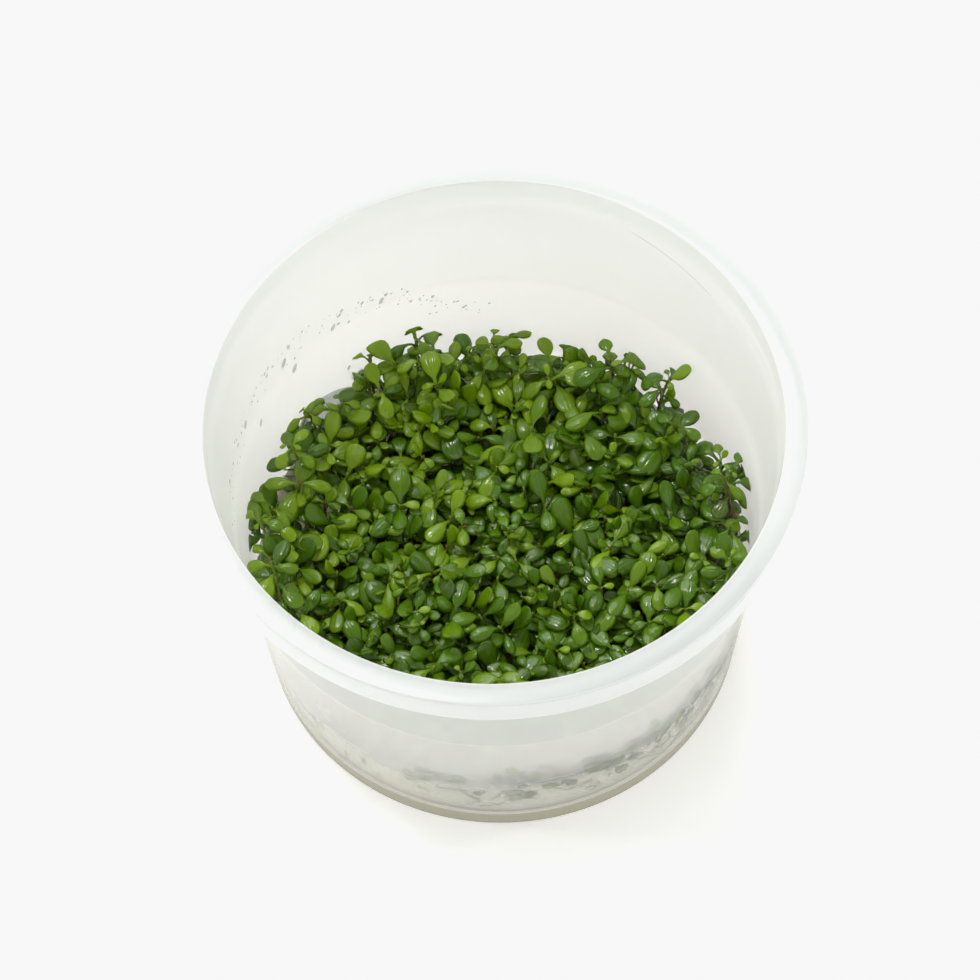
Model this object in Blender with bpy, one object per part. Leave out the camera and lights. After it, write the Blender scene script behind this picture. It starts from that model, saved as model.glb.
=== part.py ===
"""A tissue culture cup of glossostigma, a small carpeting plant for aquariums.

An open, tapered plastic cup holds a disc of clear nutrient gel. Clumps of plantlets stand on the
gel side by side and fill the cup from wall to wall. Metres, +Z up, with the origin at the centre of
the cup's foot, on the surface that it stands on.
"""

import math
import random

import bmesh
import bpy
from mathutils import Vector

MM = 0.001

# The cup
SIDES = 48
RIM_HEIGHT = 64.5 * MM
RIM_RADIUS = 50.4 * MM
MOUTH_RADIUS = 46.5 * MM
FOOT_RADIUS = 41.5 * MM
WALL = 0.8 * MM
SKIRT_DROP = 5.2 * MM
SHOULDER_HEIGHT = 38.0 * MM
SEAT_HEIGHT = 58.2 * MM
STEP = 0.3 * MM
FOOT_LAND = 2.2 * MM
FLOOR_RISE = 0.9 * MM
FLOOR = 0.9 * MM
FLOOR_CORNER = 3.0 * MM
EDGE = 0.6 * MM
CUP_SMOOTH_BELOW = 30

# The gel
GAP = 0.3 * MM
GEL_SIDES = 24
GEL_DEPTH = 12.6 * MM
GEL_CLIMB = 1.8 * MM
GEL_CLIMB_WIDTH = 2.6 * MM
GEL_RINGS = (0.5, 0.1)
GEL_RIPPLE = 0.35 * MM
RIPPLE_WIDTH = 37.0 * MM
RIPPLE_LENGTH = 45.0 * MM
GEL_SMOOTH_BELOW = 40

# The clumps of plantlets, spread over the gel
CLUMPS = 28
CLUMP_SPREAD = 42.0 * MM
CLUMP_SHIFT = 3.0 * MM
GOLDEN_ANGLE = math.pi * (3 - math.sqrt(5))
SPOTS = 1500
SETTLINGS = 3
CLUMP_FOOT = 15.0 * MM
CLUMP_CROWN = 24.4 * MM
CROWN_SPREAD = 1.0 * MM
CROWN_DOME = 1.6 * MM
WAIST_DROP = 5.6 * MM
# How much of its room a clump's cushion fills at the gel, at its waist and at its shoulder
FOOT_SHARE = 0.58
WAIST_SHARE = 0.98
SHOULDER_SHARE = 0.7
CORNER_TURNS = 96
LEAST_CORNER = math.radians(14)

# The leaves of a clump: a low tier that points at the corners of its room, and a raised tier
LOW_ROOT = 0.24
LOW_SINK = 1.0 * MM
LOW_TURN = math.radians(9)
LOW_LIFT = (math.radians(6), math.radians(20))
RAISED_LEAVES = 3
RAISED_ROOT = 0.12
RAISED_SINK = 0.6 * MM
RAISED_TURN = math.radians(19)
RAISED_LIFT = (math.radians(32), math.radians(64))
LEAF_LENGTH = 6.4 * MM
LEAF_WIDTH = 4.8 * MM
LEAF_THICKNESS = 0.9 * MM
# Along a leaf: the share of its length, half its width there and how far it droops
LEAF_SECTIONS = ((0.0, 0.14, 0.0), (0.55, 0.5, 0.0), (1.0, 0.22, 0.26))
LEAF_TRIM = 0.96

DRAFT = (MOUTH_RADIUS - FOOT_RADIUS + WALL - 2 * STEP) / RIM_HEIGHT


def clear_scene():
    for thing in list(bpy.data.objects):
        bpy.data.objects.remove(thing, do_unlink=True)


def finish(name, colour, roughness, alpha=1.0):
    """One plain material."""
    material = bpy.data.materials.new(name)
    material.use_nodes = True
    shader = material.node_tree.nodes["Principled BSDF"]
    shader.inputs["Base Color"].default_value = (*colour, 1)
    shader.inputs["Roughness"].default_value = roughness
    shader.inputs["Metallic"].default_value = 0
    shader.inputs["Alpha"].default_value = alpha
    return material


def place(name, bm, material, smooth_below=None):
    """Puts a finished mesh in the scene as one named piece, faceted or smooth up to an angle."""
    bmesh.ops.recalc_face_normals(bm, faces=bm.faces)
    mesh = bpy.data.meshes.new(name)
    bm.to_mesh(mesh)
    bm.free()
    mesh.materials.append(material)
    if smooth_below:
        mesh.shade_smooth()
        mesh.set_sharp_from_angle(angle=math.radians(smooth_below))
    piece = bpy.data.objects.new(name, mesh)
    bpy.context.scene.collection.objects.link(piece)
    return piece


def turned(profile, sides):
    """A closed mesh turned from (radius, height) points, with a flat cap at each end."""
    bm = bmesh.new()
    angles = [math.tau * side / sides for side in range(sides)]
    rings = [
        [bm.verts.new((radius * math.cos(a), radius * math.sin(a), height)) for a in angles]
        for radius, height in profile
    ]
    for first, second in zip(rings, rings[1:]):
        for side in range(sides):
            after = (side + 1) % sides
            bm.faces.new((first[side], first[after], second[after], second[side]))
    bm.faces.new(rings[0])
    bm.faces.new(rings[-1])
    return bm


def inner_wall(height):
    """The radius of the cup's inner wall, which steps out at the shoulder and at the lid's seat."""
    steps = (height > SHOULDER_HEIGHT) + (height > SEAT_HEIGHT)
    return FOOT_RADIUS - WALL + DRAFT * height + STEP * steps


def wall_step(height, out):
    """The two points of a small step in the wall, from its lower edge up."""
    return [
        (inner_wall(height) + out, height - STEP),
        (inner_wall(height) + STEP + out, height + STEP),
    ]


def corner(radius):
    """The rounded corner between the floor and the inner wall, from the wall down to the floor."""
    floor_top = FLOOR_RISE + FLOOR
    outer = inner_wall(floor_top + radius)
    turns = [math.radians(angle) for angle in (0, 45, 90)]
    return [
        (outer - radius * (1 - math.cos(turn)), floor_top + radius * (1 - math.sin(turn)))
        for turn in turns
    ]


def make_cup(material):
    """The cup in one moulded piece: foot ring, floor, thin wall, lip and hanging skirt."""
    land_inside = FOOT_RADIUS - FOOT_LAND
    skirt_foot = RIM_HEIGHT - SKIRT_DROP
    under_lip = RIM_HEIGHT - WALL
    profile = [
        (land_inside - EDGE, FLOOR_RISE),
        (land_inside, 0),
        (FOOT_RADIUS - EDGE, 0),
        (FOOT_RADIUS, EDGE),
        *wall_step(SHOULDER_HEIGHT, WALL),
        (inner_wall(under_lip) - STEP + WALL, under_lip),
        (RIM_RADIUS - WALL, under_lip),
        (RIM_RADIUS - WALL, skirt_foot),
        (RIM_RADIUS, skirt_foot),
        (RIM_RADIUS, RIM_HEIGHT - EDGE),
        (RIM_RADIUS - EDGE, RIM_HEIGHT),
        (MOUTH_RADIUS + EDGE, RIM_HEIGHT),
        (MOUTH_RADIUS, RIM_HEIGHT - EDGE),
        *reversed(wall_step(SEAT_HEIGHT, 0)),
        *reversed(wall_step(SHOULDER_HEIGHT, 0)),
        *corner(FLOOR_CORNER),
    ]
    return place("cup", turned(profile, SIDES), material, CUP_SMOOTH_BELOW)


def ripple(x, y):
    """How far the gel's top stands below its level at this place."""
    wave = math.sin(math.tau * x / RIPPLE_WIDTH) * math.cos(math.tau * y / RIPPLE_LENGTH)
    return GEL_RIPPLE * (wave - 1)


def make_gel(material):
    """The disc of gel. It fills the cup's foot, and its edge climbs the wall a little."""
    top = FLOOR_RISE + FLOOR + GEL_DEPTH
    edge = top + GEL_CLIMB
    inside = [(radius - GAP, height + GAP) for radius, height in reversed(corner(FLOOR_CORNER))]
    profile = [
        *inside,
        (inner_wall(edge) - GAP, edge),
        (inner_wall(top) - GEL_CLIMB_WIDTH, top),
        *((share * FOOT_RADIUS, top) for share in GEL_RINGS),
    ]
    bm = turned(profile, GEL_SIDES)
    for vertex in bm.verts:
        if top - GAP < vertex.co.z < edge - GAP:
            vertex.co.z += ripple(vertex.co.x, vertex.co.y)
    return place("gel", bm, material, GEL_SMOOTH_BELOW)


class Cell:
    """The room that one clump has between its neighbours and the cup's wall."""

    def __init__(self, centre, centres):
        self.centre = centre
        self.others = [other for other in centres if other is not centre]

    def stop(self, point):
        """What a point lies beyond: the cup's wall, a neighbour's side, or nothing."""
        flat = Vector((point.x, point.y))
        if flat.length > inner_wall(point.z) * math.cos(math.pi / SIDES) - GAP:
            return "wall"
        for number, other in enumerate(self.others):
            away = (other - self.centre).normalized()
            if (flat - (other + self.centre) / 2).dot(away) > -GAP / 2:
                return number
        return None

    def reach(self, angle, height):
        """How far the cell goes from its centre in this direction."""
        step = GAP / 2
        distance = 0.0
        while self.stop(self.at(angle, distance + step, height)) is None:
            distance += step
        return distance

    def corners(self, height):
        """The directions of the cell's corners, where one thing stops it and then another."""
        turns = [math.tau * turn / CORNER_TURNS for turn in range(CORNER_TURNS)]
        stops = [self.stop(self.at(a, self.reach(a, height) + GAP, height)) for a in turns]
        found = [a for a, stop, last in zip(turns, stops, stops[-1:] + stops) if stop != last]
        return [
            angle
            for angle, last in zip(found, found[-1:] + found)
            if (angle - last) % math.tau > LEAST_CORNER
        ]

    def at(self, angle, distance, height):
        x = self.centre.x + distance * math.cos(angle)
        y = self.centre.y + distance * math.sin(angle)
        return Vector((x, y, height))


def spread(count):
    """Points spread evenly over the gel, each a golden angle round from the last."""
    radii = [CLUMP_SPREAD * math.sqrt((number + 0.5) / count) for number in range(count)]
    angles = [GOLDEN_ANGLE * number for number in range(count)]
    return [Vector((r * math.cos(a), r * math.sin(a))) for r, a in zip(radii, angles)]


def clump_centres(chance):
    """The clumps' places. Each starts at random and settles in the middle of its own room."""
    centres = [
        point + CLUMP_SHIFT * Vector((chance.uniform(-1, 1), chance.uniform(-1, 1)))
        for point in spread(CLUMPS)
    ]
    for settling in range(SETTLINGS):
        rooms = [[] for centre in centres]
        for spot in spread(SPOTS):
            nearest = min(range(CLUMPS), key=lambda number: (centres[number] - spot).length)
            rooms[nearest].append(spot)
        centres = [sum(room, Vector((0, 0))) / len(room) for room in rooms]
    return centres


def core_shape(cell, crown):
    """The close stems and lower leaves of a clump as one faceted cushion, narrow at the gel."""
    waist = crown - WAIST_DROP
    shoulder = crown - CROWN_DOME
    levels = ((CLUMP_FOOT, FOOT_SHARE), (waist, WAIST_SHARE), (shoulder, SHOULDER_SHARE))
    bm = bmesh.new()
    corners = cell.corners(waist)
    rings = [
        [
            bm.verts.new(cell.at(angle, cell.reach(angle, height) * share, height))
            for angle in corners
        ]
        for height, share in levels
    ]
    top = bm.verts.new(cell.at(0, 0, crown))
    for side in range(len(corners)):
        after = (side + 1) % len(corners)
        for lower, upper in zip(rings, rings[1:]):
            bm.faces.new((lower[side], lower[after], upper[after], upper[side]))
        bm.faces.new((rings[-1][side], rings[-1][after], top))
    bm.faces.new(rings[0][::-1])
    return bm


def leaf_sections(root, heading, lift, length):
    """Three-cornered sections along one leaf from its stem to its blunt tip."""
    out = Vector((math.cos(heading), math.sin(heading), 0))
    side = Vector((-math.sin(heading), math.cos(heading), 0))
    along = out * math.cos(lift) + Vector((0, 0, math.sin(lift)))
    up = along.cross(side)
    sections = []
    for share, half_width, droop in LEAF_SECTIONS:
        middle = root + along * (length * share) - up * (length * droop)
        edge = side * (LEAF_WIDTH * half_width * length / LEAF_LENGTH)
        crown = up * (LEAF_THICKNESS * (0.5 + half_width))
        sections.append((middle - edge, middle + crown, middle + edge))
    return sections


def add_leaf(bm, cell, root, heading, lift):
    """One leaf as a closed blade, shortened until it stays in its clump's cell."""
    length = LEAF_LENGTH
    sections = leaf_sections(root, heading, lift, length)
    while any(cell.stop(point) is not None for section in sections for point in section):
        length *= LEAF_TRIM
        sections = leaf_sections(root, heading, lift, length)
    rings = [[bm.verts.new(point) for point in section] for section in sections]
    for first, second in zip(rings, rings[1:]):
        for now in range(3):
            after = (now + 1) % 3
            bm.faces.new((first[now], first[after], second[after], second[now]))
    bm.faces.new(rings[0][::-1])
    bm.faces.new(rings[-1])


def leaf_shapes(cell, crown, chance):
    """The clump's leaves: low ones that reach its neighbours and raised ones on top of them."""
    bm = bmesh.new()
    low = crown - LOW_SINK
    for corner_angle in cell.corners(low):
        heading = corner_angle + LOW_TURN * chance.uniform(-1, 1)
        root = cell.at(heading, LOW_ROOT * cell.reach(heading, low), low)
        add_leaf(bm, cell, root, heading, chance.uniform(*LOW_LIFT))
    raised = crown - RAISED_SINK
    start = chance.uniform(0, math.tau)
    for leaf in range(RAISED_LEAVES):
        heading = start + math.tau * leaf / RAISED_LEAVES + RAISED_TURN * chance.uniform(-1, 1)
        root = cell.at(heading, RAISED_ROOT * cell.reach(heading, raised), raised)
        add_leaf(bm, cell, root, heading, chance.uniform(*RAISED_LIFT))
    return bm


def fill_pockets(mesh):
    """Deletes the small closed skins of pockets between the leaves, and keeps the outer skin."""
    bm = bmesh.new()
    bm.from_mesh(mesh)
    skins = []
    waiting = set(bm.verts)
    while waiting:
        skin = {waiting.pop()}
        edge_of_skin = list(skin)
        while edge_of_skin:
            vertex = edge_of_skin.pop()
            near = {edge.other_vert(vertex) for edge in vertex.link_edges} & waiting
            waiting -= near
            skin |= near
            edge_of_skin += near
        skins.append(skin)
    outer = max(skins, key=len)
    spare = [vertex for skin in skins if skin is not outer for vertex in skin]
    bmesh.ops.delete(bm, geom=spare, context="VERTS")
    bm.to_mesh(mesh)
    bm.free()


def make_clump(number, cell, material, chance):
    """One clump of plantlets, its stems and leaves fused in one solid."""
    crown = CLUMP_CROWN + chance.uniform(-1, 1) * CROWN_SPREAD
    clump = place(f"plantlet_clump_{number:02d}", core_shape(cell, crown), material)
    leaves = place("leaves", leaf_shapes(cell, crown, chance), material)
    fuse = clump.modifiers.new("leaves", "BOOLEAN")
    fuse.operation = "UNION"
    fuse.solver = "EXACT"
    fuse.use_self = True
    fuse.object = leaves
    whole = bpy.data.meshes.new_from_object(
        clump.evaluated_get(bpy.context.evaluated_depsgraph_get())
    )
    fill_pockets(whole)
    clump.modifiers.clear()
    clump.data = whole
    bpy.data.objects.remove(leaves, do_unlink=True)
    return clump


def make_clumps(material):
    chance = random.Random(7)
    centres = clump_centres(chance)
    for number, centre in enumerate(centres, start=1):
        make_clump(number, Cell(centre, centres), material, chance)


clear_scene()
make_cup(finish("milky_plastic", (0.90, 0.91, 0.89), 0.3, alpha=0.4))
make_gel(finish("clear_gel", (0.80, 0.83, 0.72), 0.1, alpha=0.5))
make_clumps(finish("leaf_green", (0.09, 0.22, 0.03), 0.4))
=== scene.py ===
"""A tissue culture cup of glossostigma, a small carpeting plant for aquariums.

A tapered cup of milky plastic, without its lid, holds a disc of clear gel. Clumps of plantlets
stand in the gel and fill the cup, and drops of water have settled on the wall above them.
Metres, +Z up, in the frame of the solids.
"""

import math
import random

import bmesh
import bpy
import numpy as np
from mathutils import Matrix, Quaternion, Vector


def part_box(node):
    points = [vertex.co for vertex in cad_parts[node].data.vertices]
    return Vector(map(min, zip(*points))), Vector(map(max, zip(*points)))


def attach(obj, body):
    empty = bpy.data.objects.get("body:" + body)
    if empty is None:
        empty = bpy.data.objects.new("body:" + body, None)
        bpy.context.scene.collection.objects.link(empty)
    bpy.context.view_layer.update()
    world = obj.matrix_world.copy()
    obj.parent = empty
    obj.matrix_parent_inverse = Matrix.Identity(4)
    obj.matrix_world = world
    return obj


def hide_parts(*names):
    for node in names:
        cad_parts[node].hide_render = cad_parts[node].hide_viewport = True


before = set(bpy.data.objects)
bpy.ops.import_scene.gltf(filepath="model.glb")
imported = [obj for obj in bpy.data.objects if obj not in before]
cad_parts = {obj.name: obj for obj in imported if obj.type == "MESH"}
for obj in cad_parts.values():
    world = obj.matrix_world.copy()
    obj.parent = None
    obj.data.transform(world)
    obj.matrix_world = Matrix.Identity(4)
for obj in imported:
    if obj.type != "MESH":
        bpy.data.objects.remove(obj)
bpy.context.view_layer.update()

# The view. The camera has a long lens and looks down into the cup's mouth from the front, about
# 60 degrees above the table, turned a little on its own axis.
MM = 0.001
AIM = Vector((-1.15, 24.05, 0.0)) * MM
DISTANCE = 578.4 * MM
ELEVATION = math.radians(60.36)
ROLL = math.radians(-2.77)
FOCAL_LENGTH = 117.55
SENSOR_WIDTH = 36.0
NEAREST_SEEN = 10 * MM
scene = bpy.context.scene


def place_camera():
    outward = Vector((0, -math.cos(ELEVATION), math.sin(ELEVATION)))
    camera = bpy.data.objects.new("camera", bpy.data.cameras.new("camera"))
    camera.data.lens = FOCAL_LENGTH
    camera.data.sensor_width = SENSOR_WIDTH
    camera.data.clip_start = NEAREST_SEEN
    camera.location = AIM + DISTANCE * outward
    camera.rotation_mode = "QUATERNION"
    facing = (-outward).to_track_quat("-Z", "Y")
    camera.rotation_quaternion = facing @ Quaternion((0, 0, 1), ROLL)
    scene.collection.objects.link(camera)
    scene.camera = camera


place_camera()

# The light. A white room lights the cup evenly from all round, and white lamp boxes give the
# leaves and the plastic their highlights: a wide and a small one behind and above, one in front
# and one at each side. The picture is exposed so that the white table is at its limit.
ROOM_LIGHT = 0.40
ROOM_SEEN = 0.80
ROOM_COLOUR = (1.0, 1.0, 0.995)
LAMP_AIM = Vector((0, 0, 20)) * MM
LAMPS = (
    ("lamp_above", (-350, 1000, 1250), (1500, 1100), 20.0),
    ("lamp_bright", (-250, 500, 1750), (240, 200), 7.5),
    ("lamp_front", (150, -1200, 1350), (1100, 800), 4.3),
    ("lamp_left", (-1300, 150, 650), (160, 600), 3.5),
    ("lamp_right", (1300, 250, 650), (160, 600), 3.0),
)
# The brightest white that the picture shows
PICTURE_WHITE = 0.938


def light_room():
    world = bpy.data.worlds.new("room")
    world.use_nodes = True
    tree = world.node_tree
    background = tree.nodes["Background"]
    background.inputs["Color"].default_value = (*ROOM_COLOUR, 1)
    path = tree.nodes.new("ShaderNodeLightPath")
    strength = tree.nodes.new("ShaderNodeMapRange")
    strength.inputs["To Min"].default_value = ROOM_LIGHT
    strength.inputs["To Max"].default_value = ROOM_SEEN
    tree.links.new(path.outputs["Is Camera Ray"], strength.inputs["Value"])
    tree.links.new(strength.outputs["Result"], background.inputs["Strength"])
    scene.world = world


def set_tones():
    view = scene.view_settings
    view.view_transform = "Standard"
    view.use_curve_mapping = True
    view.curve_mapping.extend = "HORIZONTAL"
    view.curve_mapping.curves[3].points[1].location = (1.0, PICTURE_WHITE)
    view.curve_mapping.update()


def hang_lamp(name, place, size, power):
    """A flat lamp box that faces the cup. Place and size are in millimetres, power in watts."""
    lamp = bpy.data.objects.new(name, bpy.data.lights.new(name, "AREA"))
    lamp.data.shape = "RECTANGLE"
    lamp.data.size = size[0] * MM
    lamp.data.size_y = size[1] * MM
    lamp.data.energy = power
    lamp.location = Vector(place) * MM
    lamp.rotation_mode = "QUATERNION"
    lamp.rotation_quaternion = (LAMP_AIM - lamp.location).to_track_quat("-Z", "Y")
    scene.collection.objects.link(lamp)


light_room()
set_tones()
for lamp in LAMPS:
    hang_lamp(*lamp)

# The table. A plain white sheet, matt and without an edge in sight, lit a little from below.
TABLE_WIDTH = 4.0
TABLE_COLOUR = (0.90, 0.90, 0.885)
TABLE_ROUGHNESS = 0.7
TABLE_GLOW = 0.46


class Value:
    """One value in a material's nodes. Sums on it add the Math nodes that work them out."""

    def __init__(self, finish, socket):
        self.finish = finish
        self.socket = socket

    def maths(self, operation, *terms):
        return self.finish.node("Math", {"operation": operation}, dict(enumerate(terms)))

    def __add__(self, other):
        return self.maths("ADD", self, other)

    def __radd__(self, other):
        return self.maths("ADD", other, self)

    def __sub__(self, other):
        return self.maths("SUBTRACT", self, other)

    def __rsub__(self, other):
        return self.maths("SUBTRACT", other, self)

    def __mul__(self, other):
        return self.maths("MULTIPLY", self, other)

    def __rmul__(self, other):
        return self.maths("MULTIPLY", other, self)

    def __pow__(self, other):
        return self.maths("POWER", self, other)

    def size(self):
        return self.maths("ABSOLUTE", self)

    def wave(self):
        return self.maths("SINE", self)

    def between(self, low, high):
        """0 below low, 1 above high and a smooth rise between them."""
        settings = {"interpolation_type": "SMOOTHSTEP"}
        sockets = {"Value": self, "From Min": low, "From Max": high}
        return self.finish.node("MapRange", settings, sockets)

    def band(self, low, full, fade, high):
        """1 from full to fade, and 0 below low and above high."""
        return self.between(low, full) - self.between(fade, high)


class Finish:
    """One material, made node by node."""

    def __init__(self, name):
        self.material = bpy.data.materials.new(name)
        self.material.use_nodes = True
        self.tree = self.material.node_tree
        self.tree.nodes.clear()

    def node(self, kind, settings=None, sockets=None, out=0):
        """Adds a node, sets its settings, then its sockets, and gives what it puts out."""
        node = self.tree.nodes.new("ShaderNode" + kind)
        for name, setting in (settings or {}).items():
            setattr(node, name, setting)
        for name, value in (sockets or {}).items():
            if isinstance(value, Value):
                self.tree.links.new(value.socket, node.inputs[name])
            else:
                node.inputs[name].default_value = value
        return Value(self, node.outputs[out])

    def blend(self, share, first, second):
        """Mixes two colours. Share 0 gives the first and 1 the second."""
        settings = {"data_type": "RGBA"}
        first, second = ((*c, 1) if isinstance(c, tuple) else c for c in (first, second))
        return self.node("Mix", settings, {0: share, 6: first, 7: second}, out=2)

    def noise(self, scale, detail=2.0, place=None):
        """Cloudy noise from 0 to 1 with this many clouds to the metre."""
        where = place or self.node("TexCoord", out="Object")
        sockets = {"Vector": where, "Scale": scale, "Detail": detail}
        return self.node("TexNoise", {}, sockets, out="Fac")

    def surface(self, shader):
        end = self.tree.nodes.new("ShaderNodeOutputMaterial")
        self.tree.links.new(shader.socket, end.inputs["Surface"])
        return self.material


def mesh_piece(name, points, faces, material, smooth=True):
    """A new object with this mesh and material, linked into the scene."""
    mesh = bpy.data.meshes.new(name)
    mesh.from_pydata([tuple(point) for point in points], [], faces)
    mesh.materials.append(material)
    if smooth:
        mesh.shade_smooth()
    piece = bpy.data.objects.new(name, mesh)
    scene.collection.objects.link(piece)
    return piece


def table_finish():
    finish = Finish("table_white")
    sockets = {"Base Color": (*TABLE_COLOUR, 1), "Roughness": TABLE_ROUGHNESS}
    sockets |= {"Emission Color": (*TABLE_COLOUR, 1), "Emission Strength": TABLE_GLOW}
    return finish.surface(finish.node("BsdfPrincipled", {}, sockets))


def lay_table():
    half = TABLE_WIDTH / 2
    corners = [(-half, -half, 0), (half, -half, 0), (half, half, 0), (-half, half, 0)]
    return mesh_piece("table", corners, [(0, 1, 2, 3)], table_finish(), smooth=False)


lay_table()

# The cup. It is moulded in one piece from milky plastic: a foot ring, a thin wall that widens
# upwards with a small step below the middle and one at the lid's seat, and a flat lip whose edge
# hangs down as a skirt. It stands on its foot ring.
RIM_RADIUS, RIM_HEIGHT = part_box("cup")[1].xz
MOUTH_RADIUS = 46.5 * MM
FOOT_RADIUS = 41.5 * MM
WALL = 0.8 * MM
SKIRT_DROP = 5.2 * MM
SHOULDER_HEIGHT = 38.0 * MM
SEAT_HEIGHT = 58.2 * MM
STEP = 0.3 * MM
FOOT_LAND = 2.2 * MM
FLOOR_TOP = 1.8 * MM
FLOOR_RISE = 0.9 * MM
FLOOR_CORNER = 3.0 * MM
CORNER_STEPS = 6
EDGE = 0.4 * MM
CUP_SIDES = 320
# Rows of points up the inside, below and above the leaves' top, up the outside and at each ledge
LEAVES_TOP = 26.0 * MM
LOW_ROWS = 48
HIGH_ROWS = 26
OUTER_ROWS = 9
LEDGE_ROWS = 7
# Over what height the ledges ease out, on the inside and on the outside
SOFT_LEDGE = 5.0 * MM
CRISP_LEDGE = 2 * STEP
DRAFT = (MOUTH_RADIUS - FOOT_RADIUS + WALL - 2 * STEP) / RIM_HEIGHT
PLASTIC_WHITE = (0.93, 0.915, 0.89)
# Painted light: towards the rim the inside of the wall is painted lighter, where more light falls
PLASTIC_RIM_LIGHT = (1.0, 0.995, 0.98)
BRIGHT_FROM = 42.0 * MM
BRIGHT_TO = 61.0 * MM
PLASTIC_CLEAR = (0.985, 0.99, 0.985)
PLASTIC_GLOSS = (0.98, 0.98, 0.98)
PLASTIC_SHADE = (0.36, 0.335, 0.20)
# Painted light and shade: the skirt is painted the whitest, painted light where the front lamp
# falls, the wall's outside below it greyer, a painted shadow of the skirt, and the lip's top the
# greyest, painted shade
PLASTIC_LIP_SHADE = (0.53, 0.565, 0.565)
PLASTIC_SKIRT_LIGHT = (0.955, 0.99, 1.0)
PLASTIC_NECK_SHADOW = (0.71, 0.745, 0.725)
PLASTIC_ROUGHNESS = 0.24
CLOUDS = 55.0
PATCHES = 230.0
# The share of light that goes straight through the wall's skin, above and below the gel's edge
SEE_THROUGH = 0.46
SEE_THROUGH_GEL = 0.64
# The gel's wavy edge on the wall, and the broken white line along it, a painted highlight, with
# its heights over it
GEL_EDGE = 16.6 * MM
GEL_EDGE_WAVE = 7.0 * MM
GEL_EDGE_BLUR = 0.2 * MM
GEL_EDGE_HIGHLIGHT = 0.25
GEL_LINE_BAND = (-0.1 * MM, 0.1 * MM, 0.3 * MM, 0.9 * MM)
GEL_LINE_BREAKS = 9
# On the right, leaves on the wall wet it this much further up, in patches
WET_RISE = 3.0 * MM
WET_PATCH = 7.0 * MM
WET_FROM = -12 * MM
WET_TO = 30 * MM
# How much less clear the foot and the lip's top are, so that more of their painted shade shows,
# and the line of painted light over the foot and the painted highlight on the shoulder
FOOT_DULL = 0.6
FOOT_LIGHT_DULL = 0.5
TOP_DULL = 0.3
SHOULDER_HIGHLIGHT = 0.2
# The share of the rest that glows through rather than coming back, and less on foot and lip
GLOW = 0.50
FOOT_DIM = 0.7
LIP_DIM = 0.4
# The gloss seen straight on, and how much it grows towards a glancing look
GLOSS_STRAIGHT = 0.04
GLOSS_GLANCING = 0.35
GLOSS_SPREAD = 0.10
# The foot's height, below which the plastic is painted darker as shade, and the heights over it
# of a line of painted light
FOOT_HEIGHT = 4.7 * MM
FOOT_BLUR = 0.15 * MM
FOOT_SHADE = 0.95
FOOT_LIGHT_BAND = (0, 0.2 * MM, 0.4 * MM, 0.9 * MM)
# A faint crease high on the wall at the back on the right, which sinks to the right, painted as a
# line of shade
CREASE_SHADE = (0.52, 0.53, 0.50)
CREASE_HEIGHT = 58.8 * MM
CREASE_FROM = 23.8 * MM
CREASE_TO = 39.0 * MM
CREASE_FALL = 0.16
CREASE_FADE = 4.0 * MM
CREASE_WIDTHS = (0.08 * MM, 0.28 * MM)


def inner_wall(height, soft=SOFT_LEDGE):
    """The radius of the cup's inner wall, which eases out at the shoulder and at the seat."""
    out = FOOT_RADIUS - WALL + DRAFT * height
    for ledge in (SHOULDER_HEIGHT, SEAT_HEIGHT):
        rise = np.clip((height - ledge) / soft + 0.5, 0, 1)
        out += STEP * rise * rise * (3 - 2 * rise)
    return out


def outer_wall(height):
    """The radius of the outer wall, where the same steps are crisp."""
    return inner_wall(height, CRISP_LEDGE) + WALL


def arc(centre, radius, start, end, steps):
    """Points round part of a circle, in (radius, height), from start to end in degrees."""
    turns = [math.radians(start + (end - start) * step / steps) for step in range(steps + 1)]
    return [
        (centre[0] + radius * math.cos(turn), centre[1] + radius * math.sin(turn)) for turn in turns
    ]


def wall_line(heights, wall, soft):
    """Points up a face of the wall at these heights, and at more at the ledges."""
    low, high = heights[0], heights[-1]
    for ledge in (SHOULDER_HEIGHT, SEAT_HEIGHT):
        heights = np.append(heights, ledge + soft * np.linspace(-0.8, 0.8, LEDGE_ROWS))
    return [(wall(h), h) for h in sorted(heights) if low <= h <= high]


def turned(profile, sides):
    """Points and faces of a profile turned round the Z axis. An end at radius 0 is a pole."""
    angles = np.arange(sides) * math.tau / sides
    points = []
    rings = []
    for radius, height in profile:
        rings.append(len(points))
        if radius == 0:
            points.append((0, 0, height))
        else:
            points += [(radius * math.cos(a), radius * math.sin(a), height) for a in angles]
    faces = []
    starts = list(zip(profile, rings))
    for (lower, first), (upper, second) in zip(starts, starts[1:]):
        for side in range(sides):
            after = (side + 1) % sides
            if lower[0] == 0:
                faces.append((first, second + after, second + side))
            elif upper[0] == 0:
                faces.append((first + side, first + after, second))
            else:
                faces.append((first + side, first + after, second + after, second + side))
    return points, faces


def floor_corner():
    """The middle of the round corner between the floor and the wall, in (radius, height)."""
    height = FLOOR_TOP + FLOOR_CORNER
    return (inner_wall(height) - FLOOR_CORNER, height)


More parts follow.
